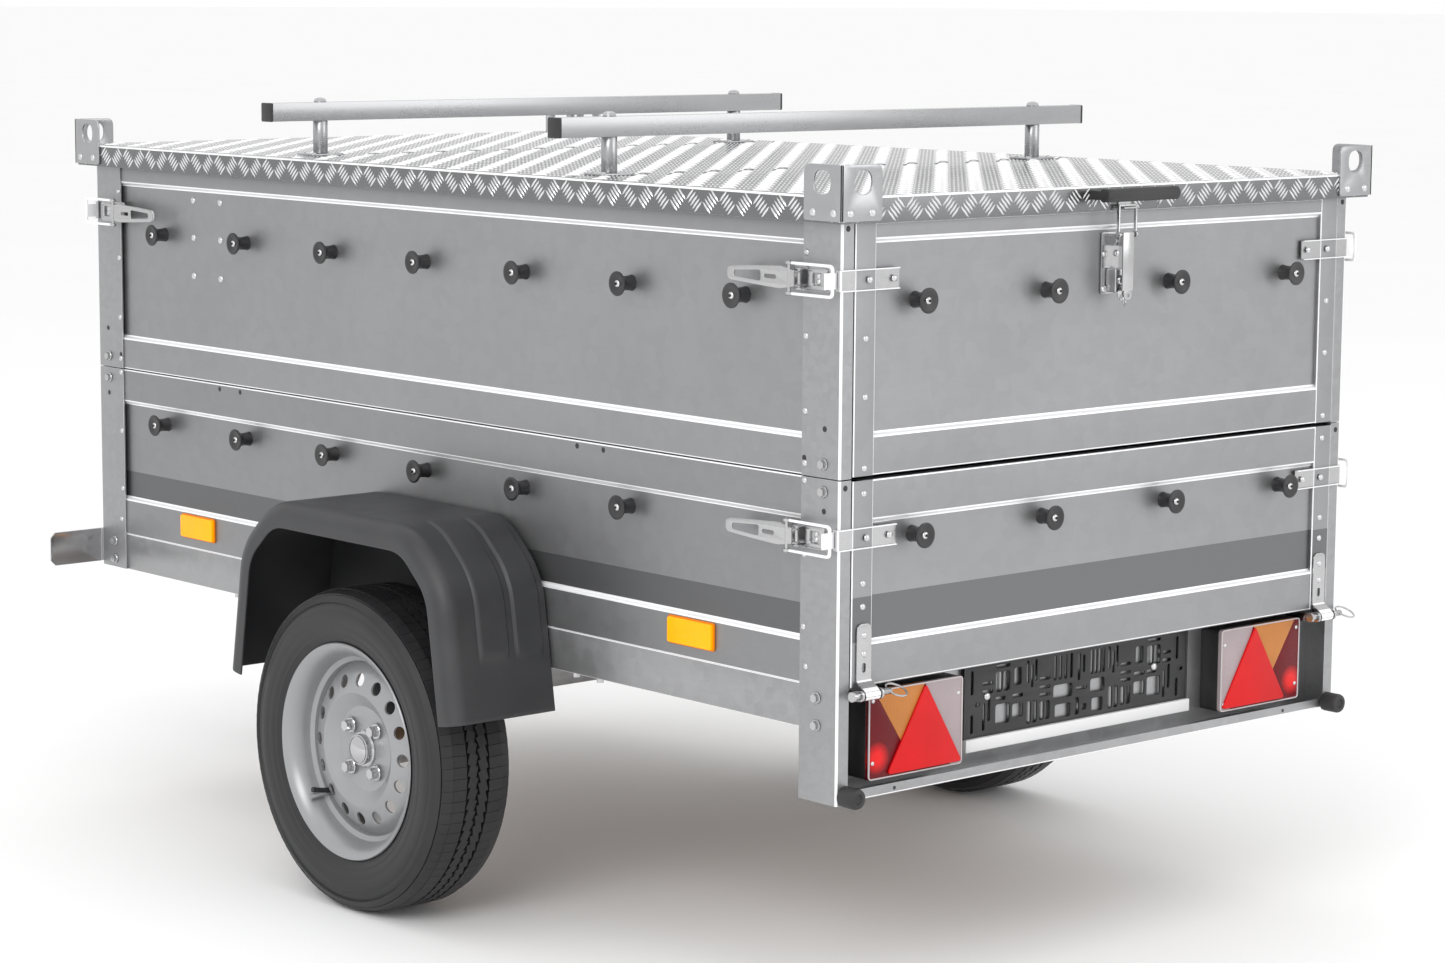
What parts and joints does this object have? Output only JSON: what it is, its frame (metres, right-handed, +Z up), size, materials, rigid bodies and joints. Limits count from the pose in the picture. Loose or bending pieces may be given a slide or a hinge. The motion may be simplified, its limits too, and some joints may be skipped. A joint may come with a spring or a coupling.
{
  "type": "box trailer",
  "caption": "Single-axle galvanised box trailer with raised drop-down gates, a hinged tread-plate lid with roof bars, toggle latches and a ball coupling.",
  "frame": {"origin": "centre of the plan at ground level", "axes": "+X to the right side of the trailer, +Y forward along the drawbar, +Z up"},
  "size_m": [1.57, 2.967, 1.339],
  "materials": {
    "frame_rails": "satin",
    "light_beam": "satin",
    "floor_board": "matt",
    "corner_posts": "satin",
    "lower_side_panels": "satin",
    "upper_side_panels": "satin",
    "front_panels": "satin",
    "drawbar": "satin",
    "drawbar_clamps": "satin",
    "coupling_housing": "satin",
    "coupling_lever": "satin",
    "axle_beam": "satin",
    "mudguards": "matt",
    "frame_bolts": "satin",
    "lamp_housings": "matt",
    "lamp_lenses": "gloss",
    "plate_holder": "matt",
    "side_reflectors": "gloss",
    "marker_brackets": "satin",
    "buffers": "matt",
    "side_knobs": "matt",
    "latch_bases": "satin",
    "hinge_pins": "satin",
    "stand_leg": "satin",
    "swing_arm_left": "satin",
    "swing_arm_right": "satin",
    "hub_left": "satin",
    "hub_right": "satin",
    "rim_left": "satin",
    "rim_right": "satin",
    "tyre_left": "matt",
    "tyre_right": "matt",
    "lid_skin": "satin",
    "lid_frame": "satin",
    "corner_eyes": "satin",
    "roof_bars": "satin",
    "bar_posts": "satin",
    "lid_handle": "matt",
    "strut_cylinders": "satin",
    "strut_rods": "polished",
    "lower_gate": "satin",
    "lower_gate_straps": "satin",
    "lower_gate_knobs": "matt",
    "upper_gate": "satin",
    "upper_gate_straps": "satin",
    "upper_gate_knobs": "matt",
    "lock_lever": "satin",
    "lock_bail": "satin",
    "lever_rear_upper_left": "satin",
    "loop_rear_upper_left": "satin",
    "lever_rear_upper_right": "satin",
    "loop_rear_upper_right": "satin",
    "lever_rear_lower_left": "satin",
    "loop_rear_lower_left": "satin",
    "lever_rear_lower_right": "satin",
    "loop_rear_lower_right": "satin",
    "lever_front_left": "satin",
    "loop_front_left": "satin",
    "lever_front_right": "satin",
    "loop_front_right": "satin"
  },
  "bodies": {
    "chassis": {"frame_rails": "frame_rails", "light_beam": "light_beam", "floor_board": "floor_board", "corner_posts": "corner_posts", "lower_side_panels": "lower_side_panels", "upper_side_panels": "upper_side_panels", "front_panels": "front_panels", "drawbar": "drawbar", "drawbar_clamps": "drawbar_clamps", "coupling_housing": "coupling_housing", "axle_beam": "axle_beam", "mudguards": "mudguards", "frame_bolts": "frame_bolts", "lamp_housings": "lamp_housings", "lamp_lenses": "lamp_lenses", "plate_holder": "plate_holder", "side_reflectors": "side_reflectors", "marker_brackets": "marker_brackets", "buffers": "buffers", "side_knobs": "side_knobs", "latch_bases": "latch_bases", "hinge_pins": "hinge_pins"},
    "coupling_lever": {"coupling_lever": "coupling_lever"},
    "stand": {"stand_leg": "stand_leg"},
    "arm_left": {"swing_arm_left": "swing_arm_left"},
    "arm_right": {"swing_arm_right": "swing_arm_right"},
    "wheel_left": {"hub_left": "hub_left", "rim_left": "rim_left", "tyre_left": "tyre_left"},
    "wheel_right": {"hub_right": "hub_right", "rim_right": "rim_right", "tyre_right": "tyre_right"},
    "lid": {"lid_skin": "lid_skin", "lid_frame": "lid_frame", "corner_eyes": "corner_eyes", "roof_bars": "roof_bars", "bar_posts": "bar_posts", "lid_handle": "lid_handle"},
    "strut_cylinders": {"strut_cylinders": "strut_cylinders"},
    "strut_rods": {"strut_rods": "strut_rods"},
    "lower_gate": {"lower_gate": "lower_gate", "lower_gate_straps": "lower_gate_straps", "lower_gate_knobs": "lower_gate_knobs"},
    "upper_gate": {"upper_gate": "upper_gate", "upper_gate_straps": "upper_gate_straps", "upper_gate_knobs": "upper_gate_knobs"},
    "lock_lever": {"lock_lever": "lock_lever"},
    "lock_bail": {"lock_bail": "lock_bail"},
    "lever_rear_upper_left": {"lever_rear_upper_left": "lever_rear_upper_left"},
    "loop_rear_upper_left": {"loop_rear_upper_left": "loop_rear_upper_left"},
    "lever_rear_upper_right": {"lever_rear_upper_right": "lever_rear_upper_right"},
    "loop_rear_upper_right": {"loop_rear_upper_right": "loop_rear_upper_right"},
    "lever_rear_lower_left": {"lever_rear_lower_left": "lever_rear_lower_left"},
    "loop_rear_lower_left": {"loop_rear_lower_left": "loop_rear_lower_left"},
    "lever_rear_lower_right": {"lever_rear_lower_right": "lever_rear_lower_right"},
    "loop_rear_lower_right": {"loop_rear_lower_right": "loop_rear_lower_right"},
    "lever_front_left": {"lever_front_left": "lever_front_left"},
    "loop_front_left": {"loop_front_left": "loop_front_left"},
    "lever_front_right": {"lever_front_right": "lever_front_right"},
    "loop_front_right": {"loop_front_right": "loop_front_right"}
  },
  "joints": [
    {"name": "coupling_release", "type": "hinge", "parent": "chassis", "child": "coupling_lever", "pos_m": [0, 1.3905, 0.434], "axis": [-1, 0, 0], "range_deg": [0, 60]},
    {"name": "stand_slide", "type": "slide", "parent": "chassis", "child": "stand", "axis": [0, 0, 1], "range_m": [0, 0.25]},
    {"name": "suspension_left", "type": "hinge", "parent": "chassis", "child": "arm_left", "pos_m": [0, -0.2855, 0.326], "axis": [-1, 0, 0], "range_deg": [-5, 18], "stiffness_Nm_per_rad": 1400, "springref_deg": -6.1},
    {"name": "wheel_spin_left", "type": "hinge", "parent": "arm_left", "child": "wheel_left", "pos_m": [0, -0.4255, 0.272], "axis": [1, 0, 0], "continuous": true},
    {"name": "suspension_right", "type": "hinge", "parent": "chassis", "child": "arm_right", "pos_m": [0, -0.2855, 0.326], "axis": [-1, 0, 0], "range_deg": [-5, 18], "stiffness_Nm_per_rad": 1400, "springref_deg": -6.1},
    {"name": "wheel_spin_right", "type": "hinge", "parent": "arm_right", "child": "wheel_right", "pos_m": [0, -0.4255, 0.272], "axis": [1, 0, 0], "continuous": true},
    {"name": "lid_hinge", "type": "hinge", "parent": "chassis", "child": "lid", "pos_m": [0, 0.6665, 1.195], "axis": [-1, 0, 0], "range_deg": [0, 50]},
    {"name": "strut_swing", "type": "hinge", "parent": "chassis", "child": "strut_cylinders", "pos_m": [0, 0.2745, 1.04], "axis": [-1, 0, 0], "range_deg": [0, 61.5]},
    {"name": "strut_stroke", "type": "slide", "parent": "strut_cylinders", "child": "strut_rods", "axis": [0, -0.9611, 0.2762], "range_m": [0, 0.3351]},
    {"name": "lower_gate_hinge", "type": "hinge", "parent": "chassis", "child": "lower_gate", "pos_m": [0, -1.4325, 0.495], "axis": [1, 0, 0], "range_deg": [0, 180]},
    {"name": "upper_gate_hinge", "type": "hinge", "parent": "chassis", "child": "upper_gate", "pos_m": [0, -1.3995, 0.838], "axis": [1, 0, 0], "range_deg": [0, 90]},
    {"name": "lock_lever_pivot", "type": "hinge", "parent": "upper_gate", "child": "lock_lever", "pos_m": [0, -1.4375, 1.15], "axis": [-1, 0, 0], "range_deg": [0, 75]},
    {"name": "lock_bail_pivot", "type": "hinge", "parent": "lock_lever", "child": "lock_bail", "pos_m": [0, -1.4465, 1.16], "axis": [-1, 0, 0], "range_deg": [-112.5, 0]},
    {"name": "latch_rear_upper_left", "type": "hinge", "parent": "chassis", "child": "lever_rear_upper_left", "pos_m": [-0.594, -1.3375, 1.113], "axis": [0, 0, 1], "range_deg": [0, 110]},
    {"name": "loop_rear_upper_left_pivot", "type": "hinge", "parent": "lever_rear_upper_left", "child": "loop_rear_upper_left", "pos_m": [-0.601, -1.3235, 1.113], "axis": [0, 0, 1], "range_deg": [-165, 0]},
    {"name": "latch_rear_upper_right", "type": "hinge", "parent": "chassis", "child": "lever_rear_upper_right", "pos_m": [0.594, -1.3375, 1.113], "axis": [0, 0, -1], "range_deg": [0, 110]},
    {"name": "loop_rear_upper_right_pivot", "type": "hinge", "parent": "lever_rear_upper_right", "child": "loop_rear_upper_right", "pos_m": [0.601, -1.3235, 1.113], "axis": [0, 0, -1], "range_deg": [-165, 0]},
    {"name": "latch_rear_lower_left", "type": "hinge", "parent": "chassis", "child": "lever_rear_lower_left", "pos_m": [-0.594, -1.3375, 0.729], "axis": [0, 0, 1], "range_deg": [0, 110]},
    {"name": "loop_rear_lower_left_pivot", "type": "hinge", "parent": "lever_rear_lower_left", "child": "loop_rear_lower_left", "pos_m": [-0.601, -1.3235, 0.729], "axis": [0, 0, 1], "range_deg": [-165, 0]},
    {"name": "latch_rear_lower_right", "type": "hinge", "parent": "chassis", "child": "lever_rear_lower_right", "pos_m": [0.594, -1.3375, 0.729], "axis": [0, 0, -1], "range_deg": [0, 110]},
    {"name": "loop_rear_lower_right_pivot", "type": "hinge", "parent": "lever_rear_lower_right", "child": "loop_rear_lower_right", "pos_m": [0.601, -1.3235, 0.729], "axis": [0, 0, -1], "range_deg": [-165, 0]},
    {"name": "latch_front_left", "type": "hinge", "parent": "chassis", "child": "lever_front_left", "pos_m": [-0.594, 0.5585, 1.113], "axis": [0, 0, -1], "range_deg": [0, 110]},
    {"name": "loop_front_left_pivot", "type": "hinge", "parent": "lever_front_left", "child": "loop_front_left", "pos_m": [-0.601, 0.5445, 1.113], "axis": [0, 0, -1], "range_deg": [-165, 0]},
    {"name": "latch_front_right", "type": "hinge", "parent": "chassis", "child": "lever_front_right", "pos_m": [0.594, 0.5585, 1.113], "axis": [0, 0, 1], "range_deg": [0, 110]},
    {"name": "loop_front_right_pivot", "type": "hinge", "parent": "lever_front_right", "child": "loop_front_right", "pos_m": [0.601, 0.5445, 1.113], "axis": [0, 0, 1], "range_deg": [-165, 0]}
  ],
  "couplings": [
    {"joint": "strut_swing", "follows": "lid_hinge", "ratio": 1.2196},
    {"joint": "strut_stroke", "follows": "lid_hinge", "m_per_rad": 0.38056},
    {"joint": "lock_bail_pivot", "follows": "lock_lever_pivot", "ratio": -1.5},
    {"joint": "loop_rear_upper_left_pivot", "follows": "latch_rear_upper_left", "ratio": -1.5},
    {"joint": "loop_rear_upper_right_pivot", "follows": "latch_rear_upper_right", "ratio": -1.5},
    {"joint": "loop_rear_lower_left_pivot", "follows": "latch_rear_lower_left", "ratio": -1.5},
    {"joint": "loop_rear_lower_right_pivot", "follows": "latch_rear_lower_right", "ratio": -1.5},
    {"joint": "loop_front_left_pivot", "follows": "latch_front_left", "ratio": -1.5},
    {"joint": "loop_front_right_pivot", "follows": "latch_front_right", "ratio": -1.5}
  ]
}
